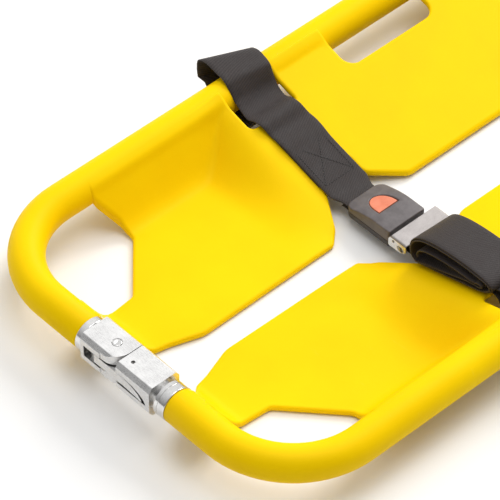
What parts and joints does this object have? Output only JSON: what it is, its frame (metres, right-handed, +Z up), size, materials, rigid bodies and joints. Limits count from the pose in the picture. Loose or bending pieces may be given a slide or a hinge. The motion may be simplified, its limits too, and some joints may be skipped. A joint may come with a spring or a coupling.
{
  "type": "scoop stretcher",
  "caption": "Plastic scoop stretcher that parts lengthwise: dished halves joined by a latching coupling at each end, with buckled webbing belts across.",
  "frame": {"origin": "middle of the stretcher, on the floor it lies on", "axes": "+X across the stretcher, +Y along its length, +Z up"},
  "size_m": [0.4738, 1.842, 0.0667],
  "materials": {
    "yellow_plastic": "fine moulded texture, low sheen",
    "black_webbing": "fine twill weave, slight sheen",
    "grey_plastic": "satin moulded",
    "red_plastic": "satin moulded",
    "cast_aluminium": "machined flats, fine brushed chamfers",
    "polished_collar": "polished",
    "satin_steel": "satin zinc"
  },
  "bodies": {
    "left": {"left_half": "yellow_plastic", "foot_fork_body": "cast_aluminium", "foot_fork_collar": "polished_collar", "foot_fork_rivet": "satin_steel", "foot_pivot_pin": "polished_collar", "head_latch_body": "cast_aluminium", "head_latch_collar": "polished_collar", "head_latch_rivet": "satin_steel", "head_roll_pin": "satin_steel", "head_latch_spring": "satin_steel", "foot_belt_left_strap": "black_webbing", "foot_belt_buckle_top_cover": "grey_plastic", "foot_belt_buckle_bottom_cover": "grey_plastic", "foot_belt_buckle_frame": "satin_steel", "foot_belt_button_spring": "satin_steel", "middle_belt_left_strap": "black_webbing", "middle_belt_buckle_top_cover": "grey_plastic", "middle_belt_buckle_bottom_cover": "grey_plastic", "middle_belt_buckle_frame": "satin_steel", "middle_belt_button_spring": "satin_steel", "head_belt_left_strap": "black_webbing", "head_belt_buckle_top_cover": "grey_plastic", "head_belt_buckle_bottom_cover": "grey_plastic", "head_belt_buckle_frame": "satin_steel", "head_belt_button_spring": "satin_steel"},
    "right": {"right_half": "yellow_plastic", "head_fork_body": "cast_aluminium", "head_fork_collar": "polished_collar", "head_fork_rivet": "satin_steel", "head_pivot_pin": "polished_collar", "foot_latch_body": "cast_aluminium", "foot_latch_collar": "polished_collar", "foot_latch_rivet": "satin_steel", "foot_roll_pin": "satin_steel", "foot_latch_spring": "satin_steel", "foot_belt_right_strap": "black_webbing", "middle_belt_right_strap": "black_webbing", "head_belt_right_strap": "black_webbing"},
    "foot_lever": {"foot_latch_lever": "cast_aluminium"},
    "head_lever": {"head_latch_lever": "cast_aluminium"},
    "foot_belt_tongue": {"foot_belt_tongue_plate": "satin_steel"},
    "foot_belt_bar": {"foot_belt_adjuster_bar": "satin_steel"},
    "foot_belt_button": {"foot_belt_release_button": "red_plastic"},
    "foot_belt_latch": {"foot_belt_buckle_latch": "satin_steel"},
    "middle_belt_tongue": {"middle_belt_tongue_plate": "satin_steel"},
    "middle_belt_bar": {"middle_belt_adjuster_bar": "satin_steel"},
    "middle_belt_button": {"middle_belt_release_button": "red_plastic"},
    "middle_belt_latch": {"middle_belt_buckle_latch": "satin_steel"},
    "head_belt_tongue": {"head_belt_tongue_plate": "satin_steel"},
    "head_belt_bar": {"head_belt_adjuster_bar": "satin_steel"},
    "head_belt_button": {"head_belt_release_button": "red_plastic"},
    "head_belt_latch": {"head_belt_buckle_latch": "satin_steel"}
  },
  "joints": [
    {"name": "halves_swing", "type": "hinge", "parent": "left", "child": "right", "pos_m": [0.0215, 0.902, 0.043], "axis": [0, 0, 1], "range_deg": [0, 20]},
    {"name": "foot_latch_release", "type": "hinge", "parent": "right", "child": "foot_lever", "pos_m": [0.0065, -0.9075, 0.043], "axis": [0, 0, 1], "range_deg": [0, 14], "stiffness_Nm_per_rad": 0.5, "springref_deg": -11.46},
    {"name": "head_latch_release", "type": "hinge", "parent": "left", "child": "head_lever", "pos_m": [-0.0065, 0.9075, 0.043], "axis": [0, 0, 1], "range_deg": [0, 14], "stiffness_Nm_per_rad": 0.5, "springref_deg": -11.46},
    {"name": "foot_belt_tongue_release", "type": "slide", "parent": "right", "child": "foot_belt_tongue", "axis": [1, 0, 0], "range_m": [0, 0.017], "deforming": ["foot_belt_right_strap"]},
    {"name": "foot_belt_bar_slide", "type": "slide", "parent": "foot_belt_tongue", "child": "foot_belt_bar", "axis": [1, 0, 0], "range_m": [0, 0.003]},
    {"name": "foot_belt_button_press", "type": "slide", "parent": "left", "child": "foot_belt_button", "axis": [0, 0, -1], "range_m": [0, 0.0011], "stiffness_N_per_m": 600, "springref_m": -0.001, "deforming": ["foot_belt_button_spring"]},
    {"name": "foot_belt_latch_dip", "type": "hinge", "parent": "left", "child": "foot_belt_latch", "pos_m": [-0.016, -0.5795, 0.01925], "axis": [0, 1, 0], "range_deg": [0, 4.9]},
    {"name": "middle_belt_tongue_release", "type": "slide", "parent": "right", "child": "middle_belt_tongue", "axis": [1, 0, 0], "range_m": [0, 0.017], "deforming": ["middle_belt_right_strap"]},
    {"name": "middle_belt_bar_slide", "type": "slide", "parent": "middle_belt_tongue", "child": "middle_belt_bar", "axis": [1, 0, 0], "range_m": [0, 0.003]},
    {"name": "middle_belt_button_press", "type": "slide", "parent": "left", "child": "middle_belt_button", "axis": [0, 0, -1], "range_m": [0, 0.0011], "stiffness_N_per_m": 600, "springref_m": -0.001, "deforming": ["middle_belt_button_spring"]},
    {"name": "middle_belt_latch_dip", "type": "hinge", "parent": "left", "child": "middle_belt_latch", "pos_m": [-0.016, 0, 0.01925], "axis": [0, 1, 0], "range_deg": [0, 4.9]},
    {"name": "head_belt_tongue_release", "type": "slide", "parent": "right", "child": "head_belt_tongue", "axis": [1, 0, 0], "range_m": [0, 0.017], "deforming": ["head_belt_right_strap"]},
    {"name": "head_belt_bar_slide", "type": "slide", "parent": "head_belt_tongue", "child": "head_belt_bar", "axis": [1, 0, 0], "range_m": [0, 0.003]},
    {"name": "head_belt_button_press", "type": "slide", "parent": "left", "child": "head_belt_button", "axis": [0, 0, -1], "range_m": [0, 0.0011], "stiffness_N_per_m": 600, "springref_m": -0.001, "deforming": ["head_belt_button_spring"]},
    {"name": "head_belt_latch_dip", "type": "hinge", "parent": "left", "child": "head_belt_latch", "pos_m": [-0.016, 0.5795, 0.01925], "axis": [0, 1, 0], "range_deg": [0, 4.9]}
  ],
  "couplings": [
    {"joint": "foot_belt_latch_dip", "follows": "foot_belt_button_press", "rad_per_m": 76.9},
    {"joint": "middle_belt_latch_dip", "follows": "middle_belt_button_press", "rad_per_m": 76.9},
    {"joint": "head_belt_latch_dip", "follows": "head_belt_button_press", "rad_per_m": 76.9}
  ]
}
